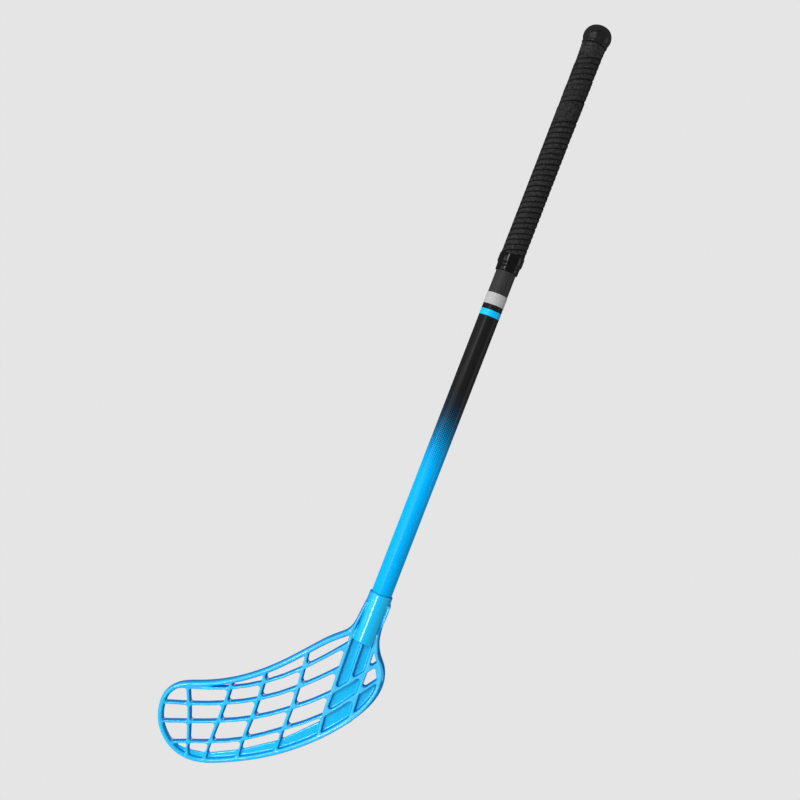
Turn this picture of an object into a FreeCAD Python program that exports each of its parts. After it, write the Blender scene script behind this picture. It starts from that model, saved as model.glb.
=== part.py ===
# Floorball stick: a composite shaft with a moulded lattice blade, a wound grip and a butt cap.
# The frame has +Z up the shaft axis, the toe towards -X and the hollow face towards -Y.
# The origin lies on the shaft axis, level with the mouth of the blade's socket. Sizes are in millimetres.
import FreeCAD, Part
import math
import os

Vector = FreeCAD.Vector

# Fits shared by the pieces
BOND_GAP = 0.04
CUT_OVERRUN = 60.0

# Shaft tube, its height measured from the mouth of the socket
SHAFT_DIAMETER = 21.8
SHAFT_WALL = 1.6
SHAFT_TOP = 636.0

# Socket of the blade
SOCKET_DEPTH = 52.0
SOCKET_WALL = 1.5
SOCKET_FLOOR = 2.5
SOCKET_EDGE = 0.5
GLUE_THICKNESS = 0.3
GLUE_MARGIN = 3.0

# Screws on the back of the socket
SCREW_DIAMETER = 3.0
SCREW_LENGTH = 8.0
SCREW_TIP = 2.0
SCREW_HEAD_DIAMETER = 6.4
SCREW_HEAD_HEIGHT = 1.9
SCREW_SLOT_WIDTH = 1.0
SCREW_SLOT_DEPTH = 1.0
SCREW_SLOT_LENGTH = 4.0
SCREW_HOLE_GAP = 0.15
SCREW_SEAT_DIAMETER = 8.4
SCREW_SEAT_HEIGHT = 0.8
SCREW_DEPTHS = (15.0, 37.0)

# Blade plane: it leaves the shaft axis below the mouth and falls away towards the toe
BLADE_DROP = 56.5
LIE_ANGLE = 34.0
BLADE_TURN = 12.5
BLADE_LENGTH = 255.0
BLADE_HEIGHT = 100.0

# Blade face: it swings back from heel to toe along half a cosine wave
SWING_DEPTH = 29.5
SWING_REACH = 244.0
SWING_POINTS = 15
HEEL_THICKNESS = 13.0
TOE_THICKNESS = 10.0

# Blade rim, ribs and webs
RIM_WIDTH = 6.4
RIB_INSET = 0.8
CROSS_RIB_WIDTH = 3.2
UPRIGHT_RIB_WIDTH = 3.5
HEEL_RIB_WIDTH = 3.8
PANEL_RIB_WIDTH = 2.8
CELL_ROUNDING = 2.0
ROUNDING_LIMIT_SHARE = 0.4
FLAT_CORNER_ANGLE = 164.0
SAME_LINE_ANGLE = 2.0
WEB_THICKNESS = 2.4
WEB_LEDGE = 0.8

# Outline of the rim, from the right of the neck round heel, sole, toe and top to the left of the neck
# Each point is a share of the blade's length (towards the toe) and of its height (up)
OUTLINE_SHARES = (
    (-0.146, 0.300), (-0.102, 0.125), (-0.071, -0.042), (-0.065, -0.171), (-0.069, -0.294),
    (-0.054, -0.460), (-0.003, -0.626), (0.097, -0.773), (0.238, -0.893), (0.398, -0.974),
    (0.549, -1.002), (0.690, -0.982), (0.807, -0.920), (0.885, -0.785), (0.927, -0.596),
    (0.936, -0.413), (0.918, -0.235), (0.873, -0.084), (0.808, -0.028), (0.723, -0.054),
    (0.606, -0.087), (0.463, -0.065), (0.320, 0.013), (0.196, 0.106), (0.098, 0.165),
    (0.030, 0.204), (-0.012, 0.310), (-0.054, 0.437))

# Crossings of the ribs, row by row from the top, each row from the toe to the heel
# The first and last rows and columns lie in the rim
TOP_ROW_SHARES = (
    (0.963, 0.139), (0.759, 0.036), (0.573, -0.072), (0.423, -0.076), (0.228, 0.044), (0.027, 0.148))
ROW_1_SHARES = (
    (0.963, 0.052), (0.773, -0.099), (0.592, -0.195), (0.445, -0.200), (0.261, -0.121), (0.054, 0.035))
ROW_2_SHARES = (
    (0.963, -0.151), (0.785, -0.279), (0.630, -0.348), (0.482, -0.366), (0.302, -0.314), (0.112, -0.201))
ROW_3_SHARES = (
    (0.963, -0.374), (0.803, -0.469), (0.677, -0.527), (0.530, -0.556), (0.351, -0.522), (0.167, -0.435),
    (0.011, -0.294), (-0.060, -0.222))
ROW_4_SHARES = (
    (0.963, -0.616), (0.826, -0.685), (0.733, -0.733), (0.588, -0.767), (0.406, -0.729), (0.224, -0.657),
    (0.064, -0.502), (-0.052, -0.396))
SOLE_ROW_SHARES = (
    (0.963, -0.890), (0.851, -0.878), (0.784, -0.947), (0.644, -1.006), (0.474, -1.003), (0.274, -0.934),
    (0.130, -0.806), (-0.044, -0.675))

# Upper edge of the web along the sole, at the uprights from the toe to the heel, and its small toe corner
WEB_EDGE_SHARES = (
    (0.839, -0.761), (0.760, -0.844), (0.612, -0.871), (0.434, -0.839), (0.233, -0.705))
WEB_TOE_CORNER_SHARES = (0.894, -0.661)

# Heel: upper and lower end of the rib between the two long panels, and the top of the small opening
PANEL_RIB_SHARES = ((-0.017, 0.080), (0.090, -0.366))
HEEL_UPRIGHT_TOP_SHARES = (-0.048, -0.038)
HEEL_RIM_SHARES = (-0.067, -0.212)

# Far side of the heel's larger opening, as shares of the way from the last upright to the rim
HEEL_OPENING_SHARES = (0.60, 0.76)

# Film and labels on the shaft, their heights measured down from the grip's tape
FILM_THICKNESS = 0.12
FILM_MOUTH_GAP = 0.4
BARE_SHAFT_LENGTH = 25.3
LABEL_THICKNESS = 0.12
RATING_LABEL_WIDTH = 12.5
RATING_LABEL_OVERHANG = 1.5
LABEL_SPACING = 5.9
SIZE_LABEL_WIDTH = 6.7

# Grip band, wound as a right-hand helix and trimmed square at both ends
GRIP_LENGTH = 247.5
GRIP_LEAD = 24.0
GRIP_TURN_GAP = 0.6
GRIP_THICKNESS = 1.9
GRIP_BED_GAP = 0.25
GRIP_RUN_ON_SHARE = 0.3
GRIP_CUT_OVERRUN = 0.6
GAP_SAMPLES = 360

# Tape that holds the grip's lower end, one half on the grip and one half on the shaft
TAPE_ON_GRIP = 9.4
TAPE_ON_SHAFT = 9.15
TAPE_GRIP_THICKNESS = 0.45
TAPE_SHAFT_THICKNESS = 1.6
TAPE_STEP_GAP = 0.2

# Butt cap
CAP_SKIRT = 14.5
CAP_CROWN = 7.6
CAP_LIP_RADIUS = 13.1
CAP_RADIUS = 15.2
CAP_WAIST = 9.5
CAP_FLAT_RADIUS = 5.5
CAP_SPIGOT_LENGTH = 35.0
CAP_SPIGOT_GAP = 0.1
CAP_SPIGOT_CHAMFER = 1.5

# Heights and radii worked out from the sizes above
SHAFT_RADIUS = SHAFT_DIAMETER / 2
SHAFT_BORE_RADIUS = SHAFT_RADIUS - SHAFT_WALL
SOCKET_BORE_RADIUS = SHAFT_RADIUS + GLUE_THICKNESS
SOCKET_RADIUS = SOCKET_BORE_RADIUS + SOCKET_WALL
CAP_BOTTOM = SHAFT_TOP - CAP_SKIRT
GRIP_TOP = CAP_BOTTOM - BOND_GAP
GRIP_BOTTOM = GRIP_TOP - GRIP_LENGTH
GRIP_BED_RADIUS = SHAFT_RADIUS + GRIP_BED_GAP
GRIP_RADIUS = GRIP_BED_RADIUS + GRIP_THICKNESS
TAPE_BOTTOM = GRIP_BOTTOM - TAPE_STEP_GAP - TAPE_ON_SHAFT
RATING_LABEL_TOP = TAPE_BOTTOM - BARE_SHAFT_LENGTH
RATING_LABEL_BOTTOM = RATING_LABEL_TOP - RATING_LABEL_WIDTH
SIZE_LABEL_BOTTOM = RATING_LABEL_BOTTOM - LABEL_SPACING - SIZE_LABEL_WIDTH
FILM_TOP = RATING_LABEL_TOP - RATING_LABEL_OVERHANG
FILM_RADIUS = SHAFT_RADIUS + BOND_GAP + FILM_THICKNESS


def sleeve(inner_radius, outer_radius, bottom, top):
    """Plain tube round the shaft axis."""
    height = top - bottom
    outside = Part.makeCylinder(outer_radius, height, Vector(0, 0, bottom))
    inside = Part.makeCylinder(inner_radius, height, Vector(0, 0, bottom))
    return outside.cut(inside)


def turned(edges):
    """Solid of revolution round the shaft axis from edges that close in the XZ plane."""
    face = Part.Face(Part.Wire(Part.__sortEdges__(edges)))
    return face.revolve(Vector(0, 0, 0), Vector(0, 0, 1), 360)


def straight_edges(points):
    """Straight edges from each point to the next."""
    return [Part.LineSegment(a, b).toShape() for a, b in zip(points, points[1:])]


class SmoothLine:
    """Smooth curve through points, read by the point's number, halves included."""

    def __init__(self, points):
        self.knots = [0.0]
        for here, following in zip(points, points[1:]):
            self.knots.append(self.knots[-1] + here.distanceToPoint(following))
        self.curve = Part.BSplineCurve()
        self.curve.interpolate(Points=points, Parameters=self.knots)
        self.edge = self.curve.toShape()

    def parameter(self, number):
        low = min(int(number), len(self.knots) - 2)
        return self.knots[low] + (self.knots[low + 1] - self.knots[low]) * (number - low)

    def point(self, number):
        return self.curve.value(self.parameter(number))

    def tangent(self, number):
        return self.curve.tangent(self.parameter(number))[0]


# Blade: the local frame has x towards the toe, y up and z away from the hollow face
def blade_point(shares):
    """Point of the blade plane from its shares of length and height."""
    return Vector(shares[0] * BLADE_LENGTH, shares[1] * BLADE_HEIGHT, 0)


def swing(along):
    """How far the blade's middle surface lies back at a place along the blade."""
    turn = math.pi * max(along, 0) / SWING_REACH
    return SWING_DEPTH / 2 * (1 - math.cos(turn))


def swing_slope(along):
    """Slope of the middle surface at a place along the blade."""
    turn = math.pi * max(along, 0) / SWING_REACH
    return SWING_DEPTH / 2 * math.sin(turn) * math.pi / SWING_REACH


def blade_thickness(along):
    """Thickness of the rim, which thins from heel to toe."""
    return HEEL_THICKNESS + (TOE_THICKNESS - HEEL_THICKNESS) * max(along, 0) / SWING_REACH


def curved_slab(inset):
    """Slab between the blade's front and back surfaces, each moved in by the inset."""
    start = -BLADE_LENGTH / 3
    stop = BLADE_LENGTH
    step = (stop - start) / (SWING_POINTS - 1)
    places = [start + step * number for number in range(SWING_POINTS)]
    floor = -2 * BLADE_HEIGHT
    front = []
    back = []
    for place in places:
        half = blade_thickness(place) / 2 - inset
        front.append(Vector(place, floor, swing(place) - half))
        back.append(Vector(place, floor, swing(place) + half))
    edges = [SmoothLine(front).edge, SmoothLine(back).edge]
    edges += straight_edges([front[0], back[0]])
    edges += straight_edges([front[-1], back[-1]])
    profile = Part.Face(Part.Wire(Part.__sortEdges__(edges)))
    return profile.extrude(Vector(0, 4 * BLADE_HEIGHT, 0))


def outline_prism(inset, neck_overrun):
    """Prism over the rim's outline moved in by the inset and run on up the neck."""
    outline = SmoothLine([blade_point(shares) for shares in OUTLINE_SHARES])
    last = len(OUTLINE_SHARES) - 1
    points = []
    for number in range(2 * last + 1):
        tangent = outline.tangent(number / 2)
        inward = Vector(-tangent.y, tangent.x, 0)
        points.append(outline.point(number / 2) + inward * inset)
    lie = math.radians(LIE_ANGLE)
    up_shaft = Vector(-math.sin(lie), math.cos(lie), 0) * neck_overrun
    neck = [points[-1], points[-1] + up_shaft, points[0] + up_shaft, points[0]]
    edges = [SmoothLine(points).edge] + straight_edges(neck)
    face = Part.Face(Part.Wire(edges))
    face.translate(Vector(0, 0, -CUT_OVERRUN))
    return face.extrude(Vector(0, 0, SWING_DEPTH + 2 * CUT_OVERRUN))


def moved_in(corners, margins):
    """Corners of a polygon whose sides are each moved in by a margin of their own."""
    count = len(corners)
    area = sum(corners[i - 1].x * corners[i].y - corners[i].x * corners[i - 1].y for i in range(count))
    side = 1 if area > 0 else -1
    lines = []
    for number in range(count):
        along = (corners[(number + 1) % count] - corners[number]).normalize()
        inward = Vector(-along.y, along.x, 0) * side
        lines.append((corners[number] + inward * margins[number], along))
    result = []
    for number in range(count):
        point, along = lines[number]
        other_point, other_along = lines[number - 1]
        sine = other_along.x * along.y - other_along.y * along.x
        if abs(sine) < math.sin(math.radians(SAME_LINE_ANGLE)):
            result.append(point)
            continue
        between = point - other_point
        reach = (between.x * along.y - between.y * along.x) / sine
        result.append(other_point + other_along * reach)
    return result


def rounded_sides(corners):
    """Pieces of a closed outline: straight runs as two points, rounded corners as three."""
    count = len(corners)
    runs = []
    for number in range(count):
        corner = corners[number]
        before = corners[number - 1] - corner
        after = corners[(number + 1) % count] - corner
        half_angle = before.getAngle(after) / 2
        if half_angle > math.radians(FLAT_CORNER_ANGLE / 2):
            runs.append((corner,))
            continue
        limit = ROUNDING_LIMIT_SHARE * min(before.Length, after.Length)
        reach = min(CELL_ROUNDING / math.tan(half_angle), limit)
        radius = reach * math.tan(half_angle)
        before.normalize()
        after.normalize()
        middle = (before + after).normalize()
        centre = corner + middle * (radius / math.sin(half_angle))
        runs.append((corner + before * reach, centre - middle * radius, corner + after * reach))
    return runs


def cell_prism(corners, front_share, back_share):
    """Prism over a cell, square to the blade's face there, between two shares of its thickness.

    A share of 0 is the front face and 1 the back face; below 0 or above 1 it runs clear of the blade.
    """
    centre = sum((corner.x for corner in corners), 0.0) / len(corners)
    slope = swing_slope(centre)
    thickness = blade_thickness(centre)
    face_depth = swing(centre) - thickness / 2

    def on_face(point):
        return Vector(point.x, point.y, face_depth + slope * (point.x - centre))

    edges = []
    runs = rounded_sides(corners)
    for number, run in enumerate(runs):
        if len(run) == 3:
            edges.append(Part.Arc(*[on_face(point) for point in run]).toShape())
        following = runs[(number + 1) % len(runs)]
        edges.append(Part.LineSegment(on_face(run[-1]), on_face(following[0])).toShape())
    square = Vector(-slope, 0, 1).normalize()
    face = Part.Face(Part.Wire(edges))
    face.translate(square * (front_share * thickness))
    return face.extrude(square * ((back_share - front_share) * thickness))


def through(corners):
    """Opening right through the blade."""
    return [cell_prism(corners, -1, 2)]


def recessed(corners):
    """Recesses on both faces that leave a web in the middle of the thickness."""
    centre = sum((corner.x for corner in corners), 0.0) / len(corners)
    web_share = WEB_THICKNESS / blade_thickness(centre)
    return [cell_prism(corners, -1, 0.5 - web_share / 2), cell_prism(corners, 0.5 + web_share / 2, 2)]


def lattice_cuts():
    """All cells of the lattice, as solids to be cut from the blade's core."""
    table = (TOP_ROW_SHARES, ROW_1_SHARES, ROW_2_SHARES, ROW_3_SHARES, ROW_4_SHARES, SOLE_ROW_SHARES)
    crossings = [[blade_point(shares) for shares in row] for row in table]
    rows = [SmoothLine(row) for row in crossings]
    first_rows = [0, 0, 0, 0, 0, 0, 3, 3]
    uprights = []
    for column, first in enumerate(first_rows):
        uprights.append(SmoothLine([row[column] for row in crossings[first:]]))
    row_margins = [0] + 4 * [CROSS_RIB_WIDTH / 2] + [0]
    upright_margins = [0] + 4 * [UPRIGHT_RIB_WIDTH / 2] + 2 * [HEEL_RIB_WIDTH / 2] + [0]

    def upright_at(column, row):
        return uprights[column].point(row - first_rows[column])

    def cell(row, column):
        corners = [crossings[row][column], rows[row].point(column + 0.5), crossings[row][column + 1],
                   upright_at(column + 1, row + 0.5), crossings[row + 1][column + 1],
                   rows[row + 1].point(column + 0.5), crossings[row + 1][column],
                   upright_at(column, row + 0.5)]
        margins = []
        for margin in (row_margins[row], upright_margins[column + 1],
                       row_margins[row + 1], upright_margins[column]):
            margins += [margin, margin]
        return moved_in(corners, margins)

    cuts = []
    for column in range(1, 5):
        cuts += through(cell(0, column))
    for row in range(1, 4):
        for column in range(5):
            cuts += through(cell(row, column))
    for column in range(7):
        cuts += recessed(cell(4, column))
    cuts += recessed(cell(3, 5))

    # Openings between the lowest cross rib and the web along the sole
    web_edge = [blade_point(shares) for shares in WEB_EDGE_SHARES]
    margin = row_margins[4]
    ledge = margin + WEB_LEDGE
    side = UPRIGHT_RIB_WIDTH / 2 + WEB_LEDGE
    toe_corner = [blade_point(WEB_TOE_CORNER_SHARES), crossings[4][1], web_edge[0]]
    cuts += through(moved_in(toe_corner, [ledge, side, 0]))
    for column in range(1, 5):
        corners = [crossings[4][column], rows[4].point(column + 0.5), crossings[4][column + 1],
                   web_edge[column], web_edge[column - 1]]
        far_side = upright_margins[column + 1] + WEB_LEDGE
        cuts += through(moved_in(corners, [ledge, ledge, far_side, 0, side]))

    # Long panels below the socket and the two openings behind them
    rib_top, rib_bottom = [blade_point(shares) for shares in PANEL_RIB_SHARES]
    heel_top = blade_point(HEEL_UPRIGHT_TOP_SHARES)
    heel_side = HEEL_RIB_WIDTH / 2
    rib_side = PANEL_RIB_WIDTH / 2
    left = [crossings[0][5], crossings[1][5], crossings[2][5], crossings[3][5], rib_bottom, rib_top]
    cuts += recessed(moved_in(left, 3 * [heel_side] + [margin, rib_side, 0]))
    right = [rib_top, rib_bottom, crossings[3][6], heel_top]
    cuts += recessed(moved_in(right, [rib_side, margin, heel_side, 0]))
    opening = [heel_top, blade_point(HEEL_RIM_SHARES), crossings[3][6]]
    cuts += through(moved_in(opening, [0, margin, heel_side]))
    far_points = []
    for row, share in zip((3, 4), HEEL_OPENING_SHARES):
        start = crossings[row][6]
        far_points.append(start + (crossings[row][7] - start) * share)
    opening = [crossings[3][6], far_points[0], far_points[1], crossings[4][6]]
    cuts += through(moved_in(opening, [margin, 0, margin, heel_side]))
    return cuts


def rim_ring():
    """Rim round the whole blade, open at the neck."""
    plate = curved_slab(0).common(outline_prism(0, BOND_GAP))
    return plate.cut(outline_prism(RIM_WIDTH, CUT_OVERRUN))


def blade_frame():
    """Placement that sets the blade's own frame below the socket."""
    lie = math.radians(LIE_ANGLE)
    to_toe = Vector(-math.cos(lie), 0, -math.sin(lie))
    up = Vector(-math.sin(lie), 0, math.cos(lie))
    back = Vector(0, 1, 0)
    return FreeCAD.Placement(Vector(0, 0, -BLADE_DROP), FreeCAD.Rotation(to_toe, up, back, "XYZ"))


def screw_places():
    """Points on the shaft axis level with the screws."""
    return [Vector(0, 0, -depth) for depth in SCREW_DEPTHS]


def along_back(radius, start, stop, place):
    """Round bar that points to the back, between two distances from the shaft axis."""
    return Part.makeCylinder(radius, stop - start, place + Vector(0, start, 0), Vector(0, 1, 0))


def turned_with_blade(shape):
    """The shape turned round the shaft so that heel and toe line up with the X axis."""
    result = shape.copy()
    result.rotate(Vector(0, 0, 0), Vector(0, 0, 1), BLADE_TURN)
    return result


def make_blade():
    """Blade moulding: rim, lattice core and socket in one solid."""
    core = curved_slab(RIB_INSET).common(outline_prism(RIM_WIDTH / 2, RIM_WIDTH))
    core = core.cut(lattice_cuts())
    lattice = rim_ring().fuse(core)
    lattice.Placement = blade_frame()
    length = SOCKET_DEPTH + SOCKET_FLOOR
    socket = Part.makeCylinder(SOCKET_RADIUS, length, Vector(0, 0, -length))
    round_edges = [edge for edge in socket.Edges if edge.Closed]
    socket = socket.makeChamfer(SOCKET_EDGE, round_edges)
    seat_top = SOCKET_RADIUS + SCREW_SEAT_HEIGHT
    seats = [along_back(SCREW_SEAT_DIAMETER / 2, 0, seat_top, place) for place in screw_places()]
    blade = lattice.fuse([socket] + seats)
    bore = Part.makeCylinder(SOCKET_BORE_RADIUS, SOCKET_DEPTH + CUT_OVERRUN, Vector(0, 0, -SOCKET_DEPTH))
    hole_radius = SCREW_DIAMETER / 2 + SCREW_HOLE_GAP
    holes = [along_back(hole_radius, 0, seat_top + CUT_OVERRUN, place) for place in screw_places()]
    blade = blade.cut([bore] + holes)
    return turned_with_blade(blade)


def make_blade_screws():
    """Self-tapping screws with a low head and a cross slot."""
    seat = SOCKET_RADIUS + SCREW_SEAT_HEIGHT
    tip = seat - SCREW_LENGTH
    radius = SCREW_DIAMETER / 2
    head_radius = SCREW_HEAD_DIAMETER / 2
    head_top = seat + SCREW_HEAD_HEIGHT
    screws = []
    for place in screw_places():
        shank = along_back(radius, tip + SCREW_TIP, seat + SCREW_HEAD_HEIGHT / 2, place)
        point = Part.makeCone(0, radius, SCREW_TIP, place + Vector(0, tip, 0), Vector(0, 1, 0))
        head = along_back(head_radius, seat, head_top, place)
        middle = seat + SCREW_HEAD_HEIGHT / 2
        rims = [edge for edge in head.Edges if edge.Closed and edge.CenterOfMass.y > middle]
        head = head.makeFillet(SCREW_HEAD_HEIGHT / 2, rims)
        slots = []
        for wide, tall in ((SCREW_SLOT_LENGTH, SCREW_SLOT_WIDTH), (SCREW_SLOT_WIDTH, SCREW_SLOT_LENGTH)):
            corner = place + Vector(-wide / 2, head_top - SCREW_SLOT_DEPTH, -tall / 2)
            slots.append(Part.makeBox(wide, SCREW_SLOT_DEPTH + CUT_OVERRUN, tall, corner))
        screws.append(shank.fuse([point, head]).removeSplitter().cut(slots))
    return turned_with_blade(Part.makeCompound(screws))


def make_blade_glue():
    """Sleeve of glue between the shaft and the socket."""
    glue = sleeve(SHAFT_RADIUS + BOND_GAP, SOCKET_BORE_RADIUS - BOND_GAP,
                  GLUE_MARGIN - SOCKET_DEPTH, -GLUE_MARGIN)
    hole_radius = SCREW_DIAMETER / 2 + SCREW_HOLE_GAP
    holes = [along_back(hole_radius, 0, SOCKET_RADIUS, place) for place in screw_places()]
    return turned_with_blade(glue.cut(holes))


def make_shaft_tube():
    """Hollow shaft, from the floor of the socket to the butt."""
    tube = sleeve(SHAFT_BORE_RADIUS, SHAFT_RADIUS, -SOCKET_DEPTH, SHAFT_TOP)
    hole_radius = SCREW_DIAMETER / 2 + BOND_GAP
    holes = [along_back(hole_radius, 0, SOCKET_RADIUS, place) for place in screw_places()]
    return turned_with_blade(tube.cut(holes))


def make_label(bottom, width):
    """Sticker wrapped once round the film."""
    inner = FILM_RADIUS + BOND_GAP
    return sleeve(inner, inner + LABEL_THICKNESS, bottom, bottom + width)


def helical_groove():
    """Cutting tool along the helix, right through the band and past both ends of the grip."""
    run_on = GRIP_RUN_ON_SHARE * GRIP_LEAD
    start = GRIP_BOTTOM - run_on
    path = Part.makeLongHelix(GRIP_LEAD, GRIP_LENGTH + 2 * run_on, SHAFT_RADIUS)
    path.translate(Vector(0, 0, start))
    inner = GRIP_BED_RADIUS - GRIP_CUT_OVERRUN
    outer = GRIP_RADIUS + GRIP_CUT_OVERRUN
    low = start - GRIP_TURN_GAP / 2
    high = start + GRIP_TURN_GAP / 2
    corners = [(inner, low), (outer, low), (outer, high), (inner, high), (inner, low)]
    profile = Part.makePolygon([Vector(radius, 0, height) for radius, height in corners])
    return Part.Wire(path.Edges).makePipeShell([profile], True, True)


def grip_self_gap():
    """Least distance between neighbouring turns of the band, measured on points of their edges."""
    upper = []
    lower = []
    for number in range(GAP_SAMPLES):
        angle = 2 * math.pi * number / GAP_SAMPLES
        climb = GRIP_LEAD * number / GAP_SAMPLES
        for radius in (GRIP_BED_RADIUS, GRIP_RADIUS):
            x = radius * math.cos(angle)
            y = radius * math.sin(angle)
            upper.append(Vector(x, y, climb + GRIP_LEAD - GRIP_TURN_GAP))
            lower.append(Vector(x, y, climb + GRIP_LEAD))
    return min(a.distanceToPoint(b) for a in upper for b in lower)


def make_grip_wrap():
    """Grip band: one unbroken strip whose turns are parted by a helical gap."""
    print("grip band: least gap between turns", round(grip_self_gap(), 3), "mm")
    return sleeve(GRIP_BED_RADIUS, GRIP_RADIUS, GRIP_BOTTOM, GRIP_TOP).cut(helical_groove())


def make_finishing_tape():
    """Stepped tape sleeve over the grip's lower end and the shaft below it."""
    shaft_inner = SHAFT_RADIUS + BOND_GAP
    grip_inner = GRIP_RADIUS + BOND_GAP
    step = GRIP_BOTTOM - TAPE_STEP_GAP
    top = GRIP_BOTTOM + TAPE_ON_GRIP
    low_outer = shaft_inner + TAPE_SHAFT_THICKNESS
    high_outer = grip_inner + TAPE_GRIP_THICKNESS
    shoulder = step - (high_outer - low_outer)
    corners = [(shaft_inner, TAPE_BOTTOM), (low_outer, TAPE_BOTTOM), (low_outer, shoulder),
               (high_outer, step), (high_outer, top), (grip_inner, top), (grip_inner, step),
               (shaft_inner, step), (shaft_inner, TAPE_BOTTOM)]
    return turned(straight_edges([Vector(radius, 0, height) for radius, height in corners]))


def bulge_arc(widest, across, up):
    """Arc that leaves the widest point upright and ends further in, above or below it."""
    radius = (across ** 2 + up ** 2) / (2 * across)
    half_turn = math.asin(abs(up) / radius) / 2
    rise = math.copysign(radius * math.sin(half_turn), up)
    middle = widest + Vector(radius * (math.cos(half_turn) - 1), 0, rise)
    return Part.Arc(widest, middle, widest + Vector(-across, 0, up)).toShape()


def make_butt_cap():
    """End cap: spigot in the tube, skirt over its end, rounded crown with a small flat on top."""
    spigot_radius = SHAFT_BORE_RADIUS - CAP_SPIGOT_GAP
    spigot_bottom = SHAFT_TOP - CAP_SPIGOT_LENGTH
    skirt_inner = SHAFT_RADIUS + BOND_GAP
    crown_top = SHAFT_TOP + CAP_CROWN
    widest = Vector(CAP_RADIUS, 0, CAP_BOTTOM + CAP_WAIST)
    below = [(0, crown_top), (0, spigot_bottom), (spigot_radius - CAP_SPIGOT_CHAMFER, spigot_bottom),
             (spigot_radius, spigot_bottom + CAP_SPIGOT_CHAMFER), (spigot_radius, SHAFT_TOP),
             (skirt_inner, SHAFT_TOP), (skirt_inner, CAP_BOTTOM), (CAP_LIP_RADIUS, CAP_BOTTOM)]
    edges = straight_edges([Vector(radius, 0, height) for radius, height in below])
    edges.append(bulge_arc(widest, CAP_RADIUS - CAP_LIP_RADIUS, -CAP_WAIST))
    edges.append(bulge_arc(widest, CAP_RADIUS - CAP_FLAT_RADIUS, crown_top - widest.z))
    edges += straight_edges([Vector(CAP_FLAT_RADIUS, 0, crown_top), Vector(0, 0, crown_top)])
    return turned(edges)


def main():
    os.makedirs("parts", exist_ok=True)
    pieces = {
        "blade": make_blade(),
        "blade_screws": make_blade_screws(),
        "blade_glue": make_blade_glue(),
        "shaft_tube": make_shaft_tube(),
        "shaft_film": sleeve(SHAFT_RADIUS + BOND_GAP, FILM_RADIUS, FILM_MOUTH_GAP, FILM_TOP),
        "size_label": make_label(SIZE_LABEL_BOTTOM, SIZE_LABEL_WIDTH),
        "rating_label": make_label(RATING_LABEL_BOTTOM, RATING_LABEL_WIDTH),
        "finishing_tape": make_finishing_tape(),
        "grip_wrap": make_grip_wrap(),
        "butt_cap": make_butt_cap(),
    }
    for name, shape in pieces.items():
        shape.exportStep("parts/" + name + ".step")
        print(name, "solids", len(shape.Solids), "volume", round(shape.Volume, 1), "valid", shape.isValid())


main()
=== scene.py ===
import math

import bpy
import numpy as np
from mathutils import Matrix, Vector


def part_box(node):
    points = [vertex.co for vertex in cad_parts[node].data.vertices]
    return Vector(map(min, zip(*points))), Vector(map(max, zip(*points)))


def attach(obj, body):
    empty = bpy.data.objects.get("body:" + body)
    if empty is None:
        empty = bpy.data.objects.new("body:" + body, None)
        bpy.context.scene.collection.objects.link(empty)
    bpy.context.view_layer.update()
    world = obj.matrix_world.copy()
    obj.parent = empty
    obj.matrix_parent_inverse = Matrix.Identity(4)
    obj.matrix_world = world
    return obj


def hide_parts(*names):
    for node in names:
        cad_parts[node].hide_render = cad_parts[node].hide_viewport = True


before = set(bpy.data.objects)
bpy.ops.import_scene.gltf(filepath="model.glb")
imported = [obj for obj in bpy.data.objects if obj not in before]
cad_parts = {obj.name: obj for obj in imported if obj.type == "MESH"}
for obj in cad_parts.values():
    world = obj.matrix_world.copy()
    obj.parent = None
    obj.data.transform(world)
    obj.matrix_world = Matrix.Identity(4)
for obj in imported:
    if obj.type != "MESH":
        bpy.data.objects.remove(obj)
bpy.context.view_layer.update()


# Sizes of the part, in millimetres, which MM turns into metres, and angles in radians
MM = 0.001
LIE = math.radians(34.0)
TURN = math.radians(12.5)
BLADE_DROP = 56.5
BLADE_LENGTH = 255.0
BLADE_HEIGHT = 100.0
SWING_DEPTH = 29.5
SWING_REACH = 244.0
HEEL_THICKNESS = 13.0
TOE_THICKNESS = 10.0
RIM_WIDTH = 6.4
RIB_INSET = 0.8
WEB_THICKNESS = 2.4
SOCKET_RADIUS = 12.7
SOCKET_BORE = 11.15
SOCKET_LENGTH = 54.5
SOCKET_DEPTH = 52.0
FILM_RADIUS = 11.06
GRIP_RADIUS = 13.05
GRIP_LEAD = 24.0

# Outline of the rim, from the right of the neck round heel, sole, toe and top to the left of the neck
# Each point is a share of the blade's length (towards the toe) and of its height (up)
OUTLINE_SHARES = (
    (-0.146, 0.300), (-0.102, 0.125), (-0.071, -0.042), (-0.065, -0.171), (-0.069, -0.294),
    (-0.054, -0.460), (-0.003, -0.626), (0.097, -0.773), (0.238, -0.893), (0.398, -0.974),
    (0.549, -1.002), (0.690, -0.982), (0.807, -0.920), (0.885, -0.785), (0.927, -0.596),
    (0.936, -0.413), (0.918, -0.235), (0.873, -0.084), (0.808, -0.028), (0.723, -0.054),
    (0.606, -0.087), (0.463, -0.065), (0.320, 0.013), (0.196, 0.106), (0.098, 0.165),
    (0.030, 0.204), (-0.012, 0.310), (-0.054, 0.437))

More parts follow.
